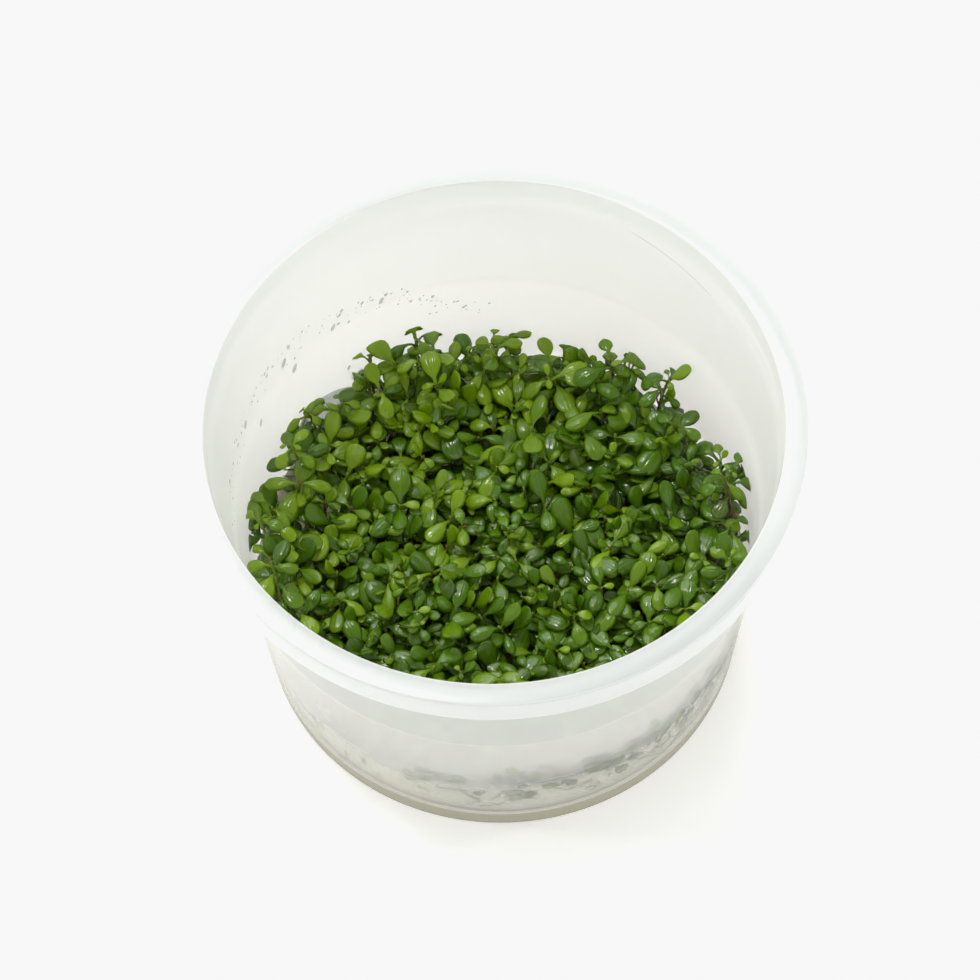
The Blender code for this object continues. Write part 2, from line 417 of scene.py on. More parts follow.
def cup_profile():
    """The cup's outline from the middle of its underside, up the outside and down the inside."""
    land_inside = FOOT_RADIUS - FOOT_LAND
    skirt_foot = RIM_HEIGHT - SKIRT_DROP
    under_lip = RIM_HEIGHT - WALL
    round_edge = WALL / 2
    low_rows = np.linspace(FLOOR_TOP + FLOOR_CORNER, LEAVES_TOP, LOW_ROWS)
    high_rows = np.linspace(LEAVES_TOP, RIM_HEIGHT - 1.6 * EDGE, HIGH_ROWS)
    outer_rows = np.linspace(1.5 * EDGE, under_lip - EDGE, OUTER_ROWS)
    return [
        (0, FLOOR_RISE),
        (land_inside - 2 * EDGE, FLOOR_RISE),
        *arc((land_inside - EDGE, EDGE), EDGE / 2, 90, 0, 3),
        (land_inside, 0),
        *arc((FOOT_RADIUS - EDGE, EDGE), EDGE, -90, 0, 4),
        *wall_line(outer_rows, outer_wall, CRISP_LEDGE),
        *arc((inner_wall(under_lip) + WALL + EDGE / 2, under_lip - EDGE / 2), EDGE / 2, 180, 90, 3),
        *arc((RIM_RADIUS - WALL - EDGE / 2, under_lip - EDGE / 2), EDGE / 2, 90, 0, 3),
        *arc((RIM_RADIUS - round_edge, skirt_foot + round_edge), round_edge, 180, 360, 6),
        *arc((RIM_RADIUS - EDGE, RIM_HEIGHT - EDGE), EDGE, 0, 90, 5),
        *arc((MOUTH_RADIUS + EDGE, RIM_HEIGHT - EDGE), EDGE, 90, 180, 5),
        *reversed(wall_line(np.append(low_rows, high_rows[1:]), inner_wall, SOFT_LEDGE)),
        *arc(floor_corner(), FLOOR_CORNER, 0, -90, CORNER_STEPS),
        (FOOT_RADIUS / 2, FLOOR_TOP),
        (0, FLOOR_TOP),
    ]


def wall_clearness(finish, place, height, cloud):
    """How clear the wall is: more so where gel and wet leaves touch it, up to a broken line where
    it is less clear, so whiter, a painted highlight.
    """
    right = finish.node("SeparateXYZ", {}, {0: place}, out="X").between(WET_FROM, WET_TO)
    patch = finish.noise(PATCHES, 0.0, place) - 0.5
    edge = GEL_EDGE + GEL_EDGE_WAVE * (cloud - 0.5) + right * (WET_RISE + WET_PATCH * patch)
    wet = 1 - height.between(edge - GEL_EDGE_BLUR, edge + GEL_EDGE_BLUR)
    # Painted highlight: a broken whiter line along the gel's edge
    line = height.band(*(edge + over for over in GEL_LINE_BAND))
    line = line * (cloud * GEL_LINE_BREAKS).wave().between(-0.6, 0.4)
    return SEE_THROUGH + (SEE_THROUGH_GEL - SEE_THROUGH) * wet - line * GEL_EDGE_HIGHLIGHT


def wall_crease_shade(finish, place, height):
    """Where the faint crease runs on the wall, which is painted as a line of shade."""
    x = finish.node("SeparateXYZ", {}, {0: place}, out="X")
    back = finish.node("SeparateXYZ", {}, {0: place}, out="Y").between(0, 5 * MM)
    off = (height - (CREASE_HEIGHT - (x - CREASE_FROM) * CREASE_FALL)).size()
    start = CREASE_FROM - CREASE_FADE / 4
    ends = x.between(start, start + CREASE_FADE)
    ends = ends * (1 - x.between(CREASE_TO - CREASE_FADE, CREASE_TO))
    return back * ends * (1 - off.between(*CREASE_WIDTHS))


def plastic_finish():
    """Milky plastic: part clear, part white that glows through, with a soft gloss over it."""
    finish = Finish("milky_plastic")
    place = finish.node("TexCoord", out="Object")
    height = finish.node("SeparateXYZ", {}, {0: place}, out="Z")
    cloud = finish.noise(CLOUDS, 0.0, place)
    # Painted shade on the foot, and a line of painted light over it
    foot = 1 - height.between(FOOT_HEIGHT - FOOT_BLUR, FOOT_HEIGHT + FOOT_BLUR)
    foot_light = height.band(*(FOOT_HEIGHT + over for over in FOOT_LIGHT_BAND))
    lip = finish.node("Attribute", {"attribute_name": "lip"}, out="Fac")
    # Painted highlight: a line at the shoulder's step is less clear, so whiter
    shoulder = 1 - (lip + 0.5).size().between(0.1, 0.4)
    clear = wall_clearness(finish, place, height, cloud)
    rim = lip.between(0, 1)
    top = lip.between(1, 2)
    clear = clear * (1 - foot * FOOT_DULL) * (1 - foot_light * FOOT_LIGHT_DULL) * (1 - top * TOP_DULL)
    # Painted highlight on the shoulder
    clear = clear - shoulder * SHOULDER_HIGHLIGHT
    # Painted light: the wall is painted lighter towards the rim
    white = finish.blend(height.between(BRIGHT_FROM, BRIGHT_TO), PLASTIC_WHITE, PLASTIC_RIM_LIGHT)
    # Painted shadow: the skirt's shade on the wall's outside over the shoulder
    white = finish.blend((0 - lip).between(0.5, 1), white, PLASTIC_NECK_SHADOW)
    # Painted light: the skirt is whiter where the front lamp falls
    white = finish.blend(rim, white, PLASTIC_SKIRT_LIGHT)
    # Painted shade: the lip's top is greyer
    white = finish.blend(top, white, PLASTIC_LIP_SHADE)
    inside = 1 - lip.size().between(0.1, 0.4)
    # Painted shade along the crease
    white = finish.blend(wall_crease_shade(finish, place, height) * inside, white, CREASE_SHADE)
    # Painted shade: the foot is darker
    white = finish.blend(foot * FOOT_SHADE, white, PLASTIC_SHADE)
    sockets = {"Base Color": white, "Roughness": 0.6, "Specular IOR Level": 0.0}
    skin = finish.node("BsdfPrincipled", {}, sockets)
    glow = finish.node("BsdfTranslucent", {}, {"Color": (*PLASTIC_WHITE, 1)})
    glowing = GLOW * (1 - foot * FOOT_DIM) * (1 - rim * LIP_DIM)
    milk = finish.node("MixShader", {}, {0: glowing, 1: skin, 2: glow})
    through = finish.node("BsdfTransparent", {}, {"Color": (*PLASTIC_CLEAR, 1)})
    body = finish.node("MixShader", {}, {0: clear, 1: milk, 2: through})
    glance = finish.node("LayerWeight", {}, {"Blend": 0.5}, out="Facing")
    roughness = PLASTIC_ROUGHNESS + GLOSS_SPREAD * (cloud - 0.5)
    sockets = {"Base Color": (*PLASTIC_GLOSS, 1), "Metallic": 1.0, "Roughness": roughness}
    gloss = finish.node("BsdfPrincipled", {}, sockets)
    share = GLOSS_STRAIGHT + GLOSS_GLANCING * glance**4
    return finish.surface(finish.node("MixShader", {}, {0: share, 1: body, 2: gloss}))


def dress(piece, slot, *nodes):
    """Hangs a finished piece under the root body and hides the solids that it stands for."""
    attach(piece, "root")
    if nodes:
        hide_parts(*nodes)


def flip_outward(piece):
    """Turns the faces of a closed piece so that they look out of it."""
    faces = bmesh.new()
    faces.from_mesh(piece.data)
    bmesh.ops.recalc_face_normals(faces, faces=faces.faces)
    faces.to_mesh(piece.data)
    faces.free()


def mark_lip(wall):
    """Marks points: -1 outside over the shoulder, -0.5 shoulder, 0 wall, 1 skirt, 2 lip's top."""
    layer = wall.data.attributes.new("lip", "FLOAT", "POINT")
    for vertex in wall.data.vertices:
        reach, height = vertex.co.xy.length, vertex.co.z
        part = 0.0
        if reach > MOUTH_RADIUS + 0.5 * EDGE:
            part = 2.0 if height > RIM_HEIGHT - 0.01 * MM else 1.0
        elif reach > inner_wall(height) + WALL / 2 and height > SHOULDER_HEIGHT - STEP:
            part = -1.0 if height > SHOULDER_HEIGHT + STEP else -0.5
        layer.data[vertex.index].value = part


cup = mesh_piece("moulded_cup", *turned(cup_profile(), CUP_SIDES), plastic_finish())
flip_outward(cup)
cup.data.set_sharp_from_angle(angle=math.radians(50))
mark_lip(cup)
dress(cup, "milky_plastic", "cup")

# The gel. Clear jelly with the plants' food in it, poured into the cup's foot, where its edge has
# crept a little up the wall. The roots grow down into it.
GEL_TOP = 14.4 * MM
GEL_CLIMB = 1.8 * MM
GEL_CLIMB_WIDTH = 3.2 * MM
GEL_GAP = 0.04 * MM
GEL_SIDES = 128
GEL_ROWS = 6
GEL_RINGS = 12
GEL_RING_SPREAD = 1.6
GEL_TINT = (0.95, 0.965, 0.90)
GEL_CLOUD = (0.95, 0.94, 0.76)
GEL_CLOUDINESS = 0.70
GEL_INDEX = 1.34
GEL_DIMPLE = 0.5 * MM


def gel_top(x, y):
    """The height of the gel's top at a place. The plants have sunk small hollows in it."""
    away = inner_wall(GEL_TOP) - np.hypot(x, y)
    climb = GEL_CLIMB * np.exp(-away / (GEL_CLIMB_WIDTH / 3))
    hollows = np.sin(x * 610) * np.cos(y * 540) + 0.6 * np.sin(x * 1130 + y * 970)
    inward = 1 - np.exp(-away / GEL_CLIMB_WIDTH)
    return GEL_TOP + climb + GEL_DIMPLE * (hollows - 1.2) / 2 * inward


def gel_mesh():
    """The gel's skin: floor, round corner, side, and the top, which is then shaped."""
    under = [(0, FLOOR_TOP + GEL_GAP), (FOOT_RADIUS / 2, FLOOR_TOP + GEL_GAP)]
    under += arc(floor_corner(), FLOOR_CORNER - GEL_GAP, -90, 0, CORNER_STEPS)
    edge = GEL_TOP + GEL_CLIMB
    rows = np.linspace(FLOOR_TOP + FLOOR_CORNER, edge, GEL_ROWS)[1:]
    side = [(inner_wall(height) - GEL_GAP, height) for height in rows]
    shares = [1 - (ring / GEL_RINGS) ** GEL_RING_SPREAD for ring in range(1, GEL_RINGS)]
    over = [((inner_wall(edge) - GEL_GAP) * share, GEL_TOP) for share in shares]
    points, faces = turned([*under, *side, *over, (0, GEL_TOP)], GEL_SIDES)
    points = np.array(points)
    top_from = len(points) - 1 - GEL_SIDES * len(over)
    top = points[top_from:]
    top[:, 2] = gel_top(top[:, 0], top[:, 1])
    return points, faces


def gel_finish():
    """Clear jelly that lets the lamps' light through to what it holds."""
    finish = Finish("clear_gel")
    sockets = {"Base Color": (*GEL_TINT, 1), "Roughness": 0.04, "IOR": GEL_INDEX}
    sockets |= {"Transmission Weight": 1.0}
    jelly = finish.node("BsdfPrincipled", {}, sockets)
    sockets = {"Base Color": (*GEL_CLOUD, 1), "Roughness": 0.5, "IOR": GEL_INDEX}
    cloud = finish.node("BsdfPrincipled", {}, sockets)
    body = finish.node("MixShader", {}, {0: GEL_CLOUDINESS, 1: jelly, 2: cloud})
    through = finish.node("BsdfTransparent", {}, {"Color": (*GEL_TINT, 1)})
    shade = finish.node("LightPath", out="Is Shadow Ray")
    return finish.surface(finish.node("MixShader", {}, {0: shade, 1: body, 2: through}))


gel = mesh_piece("nutrient_gel", *gel_mesh(), gel_finish())
flip_outward(gel)
dress(gel, "clear_gel", "gel")

# The plantlets. Each clump is a tuft of thin upright shoots. Pairs of small thick leaves stand on
# them crosswise, domed with their edges rolled under, and the youngest are the palest. Threads of
# root run down into the gel. The shoots of one clump grow in among those of the next.
SHOOT_SEED = 21
SHOOTS = 350
SHOOT_SPREAD = 40.6 * MM
SHOOT_SHIFT = 1.1 * MM
GOLDEN_ANGLE = math.pi * (3 - math.sqrt(5))
# Where they are thinner, and where they stand off the wall, and by what share each
THIN_FROM = 35 * MM
THIN_BACK = -5 * MM
THIN_LEFT = 8 * MM
THIN_SHARE = 0.12
OFF_FRONT = -10 * MM
OFF_SHARE = 0.06
LEAF_GREEN = (0.085, 0.200, 0.003)
YOUNG_GREEN = (0.29, 0.47, 0.008)
OLD_GREEN = (0.046, 0.107, 0.003)
UNDER_GREEN = (0.16, 0.26, 0.035)
GLOW_GREEN = (0.24, 0.44, 0.008)
DEAD_BROWN = (0.13, 0.095, 0.028)
STALK_GREEN = (0.26, 0.34, 0.05)
STALK_RED = (0.20, 0.11, 0.035)
ROOT_WHITE = (0.62, 0.62, 0.50)
MOTTLE = 700.0
LEAF_ROUGHNESS = 0.10
LEAF_MATTING = 0.16
LEAF_INDEX = 1.5
# The share of light that glows through an old leaf, and how much more through a young one
LEAF_GLOW = 0.10
YOUNG_GLOW = 0.28
# The pairs of leaves down a shoot, from its tip: how far below the tip, how long a leaf is, how
# steeply it rises in degrees and how young it is
PAIRS = (
    (0.2, (2.0, 3.8), (55, 85), 0.80),
    (1.1, (4.2, 7.0), (45, 84), 0.60),
    (3.2, (5.2, 8.0), (35, 80), 0.36),
    (5.8, (5.0, 7.4), (15, 70), 0.14),
    (8.6, (4.2, 6.2), (-10, 40), -0.4),
)
# The kinds of skin that the finish tells apart
LEAF, STEM, ROOT = 0.0, 1.0, 2.0
# A stem: its radii from foot to tip and how far it leans and bows, in millimetres
STEM_RADII = (0.34, 0.2)
STEM_LEAN = 1.0
STEM_BOW = 0.7
STEM_STEPS = 7
STEM_FOOT = GEL_TOP - 0.8 * MM
STEM_SIDES = 6
THREAD_SIDES = 5
# A shoot's vigour and how far down its pairs sit, and how its leaves vary in size, place and age
VIGOUR = (0.8, 1.15)
PAIR_SHIFT = (-0.2, 0.5)
SIZES = (0.85, 1.1)
STRAY = 0.16
TWIST = 0.28
AGES = 0.13
YOUNGEST = 1.1
# How many headings a pair tries, and how much room is enough
HEADINGS = 6
ENOUGH_ROOM = 4 * MM
# How much paler the plants are painted towards the back and the left, painted light where more
# light falls through the wall on them
BACKLIGHT_PALER = 0.40
# How often a shoot's smallest pair is open, and the dead leaves that lie at its foot
BUDS_OPEN = 0.40
LITTER = 3
LITTER_REACH = 34 * MM
LITTER_RIGHT = 5 * MM
LITTER_SPREAD = 3
LITTER_LENGTHS = (3.5, 5.5)
# The share of the leaves that arch over rather than stay straight, and at the carpet's edge at the
# back and sides the share on a long hooked stalk. For each: stalk, bend in radians, and width
ARCHED = 0.75
HOOKED = 0.65
ARCHED_LEAF = (0.20, (0.1, 0.9), (0.50, 0.66))
HOOKED_LEAF = (0.36, (0.5, 1.3), (0.46, 0.58))
STRAIGHT_LEAF = (0.20, (0.2, 0.8), (0.50, 0.66))
HOOKED_RISE = (55, 80)
CURLS = (0.8, 1.8)
BLUNTNESS = (1.1, 1.8)
EDGE_FROM = 36 * MM
EDGE_BACK = -8 * MM
WALL_PRESS = 0.9 * MM
# What clings to the wall lies this deep in its inner skin, so that it shows through: leaves,
# bubbles, and the roots that come this near
CLING = 0.35 * MM
ROOT_NEAR = 0.6 * MM
ROOT_CLING = 0.55 * MM
# A root: its radii and steps in millimetres, how it wanders, and how many more are at the wall
ROOT_RADII = (0.22, 0.12)
ROOT_STEPS = 10
ROOT_STEP = 1.3
ROOT_WANDER = 0.5
ROOT_TOP = GEL_TOP - 0.3 * MM
ROOT_LOW = FLOOR_TOP + 0.4 * MM
ROOTS_OUT_FROM = 34 * MM
ROOTS_OUT = 1.2
MORE_ROOTS_FROM = 36 * MM
MORE_ROOTS = 3
# The carpet in millimetres: its height, how much it rolls, rises to the back and varies, and how
# often and how far a sprig stands out of it
CARPET = 24.0
CARPET_ROLL = 0.9
CARPET_RISE = 0.02
CARPET_SPREAD = 1.0
SPRIGS = 0.05
SPRIG_RISE = (1.5, 3.5)
# The shoots at the wall climb it, by this much at most in millimetres, and more at the sides
CLIMB_FROM = 32 * MM
CLIMB_BACK = -18 * MM
CLIMB = 10.0
CLIMB_SPREAD = (0.2, 1.0)
SIDE_FROM = 20 * MM
SIDE_CLIMB = 0.35
# Which shoots also lay leaves flat on the wall, from the back in degrees, and how many leaves
# each, at what heights over the gel in millimetres, and how far aside in degrees
LEAN_FROM = 35 * MM
LEAN_SPANS = ((-66, -28, 2), (95, 120, 2), (120, 178, 4), (-178, -160, 3))
LEAN_HEIGHTS = (-1.5, 9.0)
LEAN_ASIDE = 7
LEAN_LENGTHS = (2.4, 4.4)
LEAN_WIDTHS = (0.5, 0.72)
LEAN_STALK = 0.15 * MM
# Where a film of water lies on the wall, from the back in degrees, and the shoots stay low
FILM_SPAN = (-60, -33)
FILM_CLIMB = 0.3


class Growth:
    """The mesh of one clump while it grows, with what each point tells the leaf's finish."""

    def __init__(self):
        self.points = []
        self.faces = []
        self.facts = {"age": [], "under": [], "across": [], "kind": [], "tint": []}
        self.count = 0

    def add(self, points, faces, **facts):
        """Takes in a closed skin, with one value or one for each point for every fact."""
        self.faces += [tuple(corner + self.count for corner in face) for face in faces]
        self.points.append(points)
        for name, values in self.facts.items():
            values.append(np.broadcast_to(np.float32(facts[name]), len(points)))
        self.count += len(points)


def strip_faces(rings, around):
    """Faces that join rings of points, with an end face on the first and on the last."""
    faces = []
    for ring in range(rings - 1):
        for now in range(around):
            after = (now + 1) % around
            low = ring * around
            faces.append((low + now, low + after, low + around + after, low + around + now))
    faces.append(tuple(reversed(range(around))))
    faces.append(tuple(range((rings - 1) * around, rings * around)))
    return faces


class LeafGrid:
    """The grid that a leaf's skin is made on: rows along it, with points above and below."""

    def __init__(self, rows, above, below):
        across = [np.linspace(-1, 1, above), np.linspace(0.6, -0.6, below)]
        self.across = np.concatenate(across)
        self.under = np.concatenate([np.zeros(above), np.ones(below)])
        self.along = (1 - np.cos(np.linspace(0, math.pi, rows))) / 2
        self.rows = rows
        self.faces = strip_faces(rows, above + below)


FINE_LEAF = LeafGrid(12, 7, 3)
PLAIN_LEAF = LeafGrid(6, 4, 2)


def leaf_points(grid, length, width, stalk, curl, bend, blunt):
    """One leaf along +X, face up: stalk, domed blade with rolled edges, and blunt tip."""
    along = grid.along[:, None]
    across = grid.across[None, :]
    blade = np.clip((along - stalk) / (1 - stalk), 0, 1)
    outline = np.sqrt(np.maximum(1 - np.abs(2 * blade**blunt - 1) ** 2.5, 0))
    outline *= np.clip(blade / 0.35, 0, 1) ** 0.5
    half = width / 2 * np.maximum(outline, 0.15 * (1 - along) + 0.03)
    roll = curl * across * np.abs(across) ** 0.8
    side = half * across * (1 - 0.12 * curl * across**2)
    lift = -half * 0.5 * (1 - np.cos(roll))
    lift = lift - 0.04 * half * np.exp(-((across / 0.16) ** 2)) * outline
    thick = (0.16 * MM + 0.11 * half) * np.sqrt(np.maximum(1 - across**2, 0))
    lift = lift - grid.under[None, :] * 2.0 * thick
    turn = bend * (0.45 * np.clip(along / 0.40, 0, 1) + 0.55 * along**2)
    run = length * np.cumsum(np.diff(along, axis=0, prepend=0) * np.cos(turn), axis=0)
    drop = length * np.cumsum(np.diff(along, axis=0, prepend=0) * np.sin(turn), axis=0)
    x = run + lift * np.sin(turn)
    z = -drop + lift * np.cos(turn)
    return np.stack([x, side + 0 * x, z], axis=-1).reshape(-1, 3)


def press(points):
    """Keeps points inside the cup: what grows out against the wall lies flat along it."""
    reach = np.hypot(points[:, 0], points[:, 1])
    free = inner_wall(points[:, 2]) - 0.1 * MM - WALL_PRESS
    over = np.maximum(reach - free, 0)
    held = np.where(over > 0, free + WALL_PRESS * (1 - np.exp(-over / WALL_PRESS)), reach)
    points[:, :2] *= (held / np.maximum(reach, MM))[:, None]
    return points


def add_skin(growth, grid, points, age, tint):
    """Takes the skin of a leaf that is made on this grid into a clump."""
    under = np.tile(grid.under, grid.rows)
    across = np.tile(grid.across, grid.rows)
    growth.add(points, grid.faces, age=age, under=under, across=across, kind=LEAF, tint=tint)


def add_leaf(growth, chance, grid, node, heading, lift, length, age):
    """One leaf on its node of the stem: on a hooked stalk, arched over, or nearly straight."""
    edge = math.hypot(node[0], node[1]) > EDGE_FROM and node[1] > EDGE_BACK
    if edge and chance.random() < HOOKED:
        lift = max(lift, math.radians(chance.uniform(*HOOKED_RISE)))
        way, bent = HOOKED_LEAF, lift
    elif chance.random() < ARCHED:
        way, bent = ARCHED_LEAF, lift
    else:
        way, bent = STRAIGHT_LEAF, 0
    stalk, bends, widths = way
    bend = max(bent + chance.uniform(*bends), 0.2)
    width = length * chance.uniform(*widths)
    curl = chance.uniform(*CURLS)
    shape = leaf_points(grid, length, width, stalk, curl, bend, chance.uniform(*BLUNTNESS))
    turn = Matrix.Rotation(heading, 3, "Z") @ Matrix.Rotation(-lift, 3, "Y")
    turn = turn @ Matrix.Rotation(chance.gauss(0, TWIST), 3, "X")
    points = press(shape @ np.array(turn).T + np.array(node))
    add_skin(growth, grid, points, age, chance.random())
    return points


def add_thread(growth, route, radii, sides, **facts):
    """A stem or a root: a round thread along a route of points."""
    route = np.array(route)
    ahead = np.gradient(route, axis=0)
    ahead /= np.linalg.norm(ahead, axis=1)[:, None]
    side = np.cross(ahead, (0.31, 0.95, 0.05))
    side /= np.linalg.norm(side, axis=1)[:, None]
    front = np.cross(ahead, side)
    turns = np.arange(sides) * math.tau / sides
    across = np.cos(turns)[None, :, None]
    ring = side[:, None] * across + front[:, None] * np.sin(turns)[None, :, None]
    points = route[:, None] + ring * np.array(radii)[:, None, None]
    faces = strip_faces(len(route), sides)
    around = np.tile(np.cos(turns), len(route))
    growth.add(points.reshape(-1, 3), faces, under=0.0, across=around, **facts)


def at_film(place):
    """Whether a shoot stands where the film of water is on the wall."""
    return FILM_SPAN[0] < math.degrees(math.atan2(place.x, place.y)) < FILM_SPAN[1]


def shoot_places(chance):
    """Where the shoots stand: evenly over the gel, each moved a little, and fewer at the back."""
    places = []
    for number in range(SHOOTS):
        reach = SHOOT_SPREAD * math.sqrt((number + 0.5) / SHOOTS)
        angle = number * GOLDEN_ANGLE
        shift = Vector((chance.uniform(-1, 1), chance.uniform(-1, 1))) * SHOOT_SHIFT
        place = Vector((reach * math.cos(angle), reach * math.sin(angle))) + shift
        thin = place.length > THIN_FROM and place.y > THIN_BACK and place.x < THIN_LEFT
        if thin and not at_film(place) and chance.random() < THIN_SHARE:
            continue
        if place.x < 0 and place.y < OFF_FRONT:
            place *= 1 - OFF_SHARE * (place.length / SHOOT_SPREAD) ** 2
        places.append(place)
    return places


def canopy(place, chance):
    """The height of a shoot's tip: a rolling carpet, low in front, with a few taller sprigs."""
    roll = math.sin(place.x * 160 + 1.0) * math.cos(place.y * 130 - 0.6)
    height = CARPET + CARPET_ROLL * roll + CARPET_RISE * place.y / MM
    height += chance.gauss(0, CARPET_SPREAD)
    edge = max(place.length - CLIMB_FROM, 0) / (SHOOT_SPREAD - CLIMB_FROM)
    side = 0.25 + 0.75 * abs(place.x) / max(place.length, MM)
    side += SIDE_CLIMB * (abs(place.x) > SIDE_FROM)
    if place.y > CLIMB_BACK:
        climb = CLIMB * (FILM_CLIMB if at_film(place) else 1.0)
        height += climb * edge * side * chance.uniform(*CLIMB_SPREAD)
    if chance.random() < SPRIGS:
        height += chance.uniform(*SPRIG_RISE)
    return height * MM


def stem_route(place, height, chance):
    """A shoot from the gel to its tip: nearly upright, with a slight bow."""
    foot = Vector((place.x, place.y, STEM_FOOT))
    lean = Vector((chance.gauss(0, STEM_LEAN), chance.gauss(0, STEM_LEAN), 0)) * MM
    bow = Vector((chance.gauss(0, STEM_BOW), chance.gauss(0, STEM_BOW), 0)) * MM
    tip = Vector((place.x, place.y, height)) + lean
    shares = [step / STEM_STEPS for step in range(STEM_STEPS + 1)]
    return [foot.lerp(tip, share) + bow * math.sin(math.pi * share) for share in shares]


def point_below_tip(route, below):
    """The point of a stem that lies this far under its tip."""
    tip = route[-1]
    down = route[::-1]
    for upper, lower in zip(down, down[1:]):
        if tip.z - lower.z >= below:
            share = (tip.z - below - lower.z) / max(upper.z - lower.z, 1e-6)
            return lower.lerp(upper, share)
    return None


class Room:
    """The places that leaves have taken, so that a new pair turns to where it has most room."""

    def __init__(self):
        self.taken = np.zeros((0, 3))

    def best_heading(self, node, length, lift, chance):
        """The heading, in radians, that leaves the two leaves of a pair the most room."""
        start = chance.uniform(0, math.pi)
        if len(self.taken) == 0:
            return start
        best = (-1, start)
        for turn in range(HEADINGS):
            heading = start + math.pi * turn / HEADINGS
            out = np.array((math.cos(heading), math.sin(heading), 0)) * math.cos(lift)
            up = np.array((0, 0, math.sin(lift)))
            tips = [np.array(node) + length * 0.62 * (up + way * out) for way in (1, -1)]
            gaps = [np.linalg.norm(self.taken - tip, axis=1).min() for tip in tips]
            gap = sum(min(gap, ENOUGH_ROOM) for gap in gaps)
            if gap > best[0]:
                best = (gap, heading)
        return best[1]

    def take(self, points):
        self.taken = np.vstack([self.taken, points.mean(axis=0)])


def grow_shoot(growth, place, room, chance):
    """One shoot: its stem, and its pairs of leaves from the tip down."""
    route = stem_route(place, canopy(place, chance), chance)
    route = [Vector(point) for point in press(np.array(route))]
    tint = chance.random()
    vigour = chance.uniform(*VIGOUR)
    # Painted light: paler towards the back and the left, where more light falls through the wall
    paler = BACKLIGHT_PALER * np.clip((place.y - 0.6 * place.x) / SHOOT_SPREAD + 0.1, 0, 1)
    radii = np.linspace(*STEM_RADII, len(route)) * MM
    add_thread(growth, route, radii, STEM_SIDES, age=0.3, kind=STEM, tint=tint)
    shift = chance.uniform(*PAIR_SHIFT)
    for below, lengths, lifts, age in PAIRS:
        grid = FINE_LEAF if age > 0 else PLAIN_LEAF
        node = point_below_tip(route, (below + shift) * MM)
        if node is None or (age == PAIRS[0][3] and chance.random() > BUDS_OPEN):
            continue
        length = chance.uniform(*lengths) * vigour * MM
        lift = math.radians(chance.uniform(*lifts))
        heading = room.best_heading(node, length, lift, chance)
        for half_turn in (0, math.pi):
            own = heading + half_turn + chance.gauss(0, STRAY)
            rise = lift + chance.gauss(0, STRAY)
            size = length * chance.uniform(*SIZES)
            # The painted light is added to the age, which turns the leaves to the young colours
            youth = min(age + paler + chance.gauss(0, AGES), YOUNGEST)
            room.take(add_leaf(growth, chance, grid, node, own, rise, size, youth))


def wall_leaf(azimuth, height, chance):
    """The points of one leaf that lies flat on the wall, with its face to it."""
    length = chance.uniform(*LEAN_LENGTHS) * MM
    width = length * chance.uniform(*LEAN_WIDTHS)
    blunt = chance.uniform(*BLUNTNESS)
    shape = leaf_points(FINE_LEAF, length, width, stalk=0.2, curl=0.6, bend=0.2, blunt=blunt)
    turn = chance.uniform(0, math.tau)
    aside = shape[:, 0] * math.cos(turn) - shape[:, 1] * math.sin(turn)
    heights = height + shape[:, 0] * math.sin(turn) + shape[:, 1] * math.cos(turn)
    reach = inner_wall(heights) + CLING + 0.4 * np.minimum(shape[:, 2], 0)
    angle = math.radians(azimuth) - aside / reach
    return np.stack([reach * np.sin(angle), reach * np.cos(angle), heights], axis=-1)


def lean_leaves(growth, place, chance):
    """Leaves of the outermost shoots that lie on the wall, and in front show through it."""
    azimuth = math.degrees(math.atan2(place.x, place.y))
    leaves = sum(count for low, high, count in LEAN_SPANS if low < azimuth < high)
    for leaf in range(leaves if place.length > LEAN_FROM else 0):
        height = GEL_TOP + chance.uniform(*LEAN_HEIGHTS) * MM
        points = wall_leaf(azimuth + chance.uniform(-LEAN_ASIDE, LEAN_ASIDE), height, chance)
        tint = chance.random()
        add_skin(growth, FINE_LEAF, points, chance.uniform(0.1, YOUNGEST), tint)
        foot = Vector((place.x, place.y, max(height - 2 * MM, GEL_TOP - 0.5 * MM)))
        end = Vector(points[: len(FINE_LEAF.across)].mean(axis=0))
        route = [foot.lerp(end, share) for share in (0, 0.35, 0.7, 1)]
        radii = [LEAN_STALK] * len(route)
        add_thread(growth, route, radii, THREAD_SIDES, age=0.4, kind=STEM, tint=tint)


def drop_litter(growth, place, chance):
    """Old leaves that lie on the gel at a shoot's foot, brown and dark."""
    littered = place.length < LITTER_REACH or place.x > LITTER_RIGHT
    for leaf in range(LITTER if littered else 0):
        aside = [chance.uniform(-LITTER_SPREAD, LITTER_SPREAD) for axis in range(2)]
        spot = place + Vector(aside) * MM
        node = Vector((spot.x, spot.y, GEL_TOP + chance.uniform(0.6, 2.0) * MM))
        heading = chance.uniform(0, math.tau)
        length = chance.uniform(*LITTER_LENGTHS) * MM
        add_leaf(growth, chance, PLAIN_LEAF, node, heading, lift=0.3, length=length, age=-0.7)


def grow_roots(growth, place, chance):
    """Threads of root that wander down through the gel, the more the nearer to the wall."""
    for thread in range(chance.choice((1, 2)) + MORE_ROOTS * (place.length > MORE_ROOTS_FROM)):
        at = Vector((place.x, place.y, ROOT_TOP))
        going = Vector((chance.gauss(0, ROOT_WANDER), chance.gauss(0, ROOT_WANDER), -1))
        if place.length > ROOTS_OUT_FROM:
            going += ROOTS_OUT * place.normalized().to_3d()
        route = [at.copy()]
        for step in range(ROOT_STEPS):
            wander = Vector([chance.gauss(0, ROOT_WANDER) for axis in range(3)])
            going = (going + wander).normalized()
            at = at + going * ROOT_STEP * MM
            at.z = min(max(at.z, ROOT_LOW), ROOT_TOP)
            route.append(at.copy())
        route = press(np.array(route))
        reach = np.hypot(route[:, 0], route[:, 1])
        near = reach > inner_wall(route[:, 2]) - ROOT_NEAR
        route[:, :2] *= (1 + ROOT_CLING * near / np.maximum(reach, MM))[:, None]
        radii = np.linspace(*ROOT_RADII, len(route)) * MM
        add_thread(growth, route, radii, THREAD_SIDES, age=0.0, kind=ROOT, tint=chance.random())


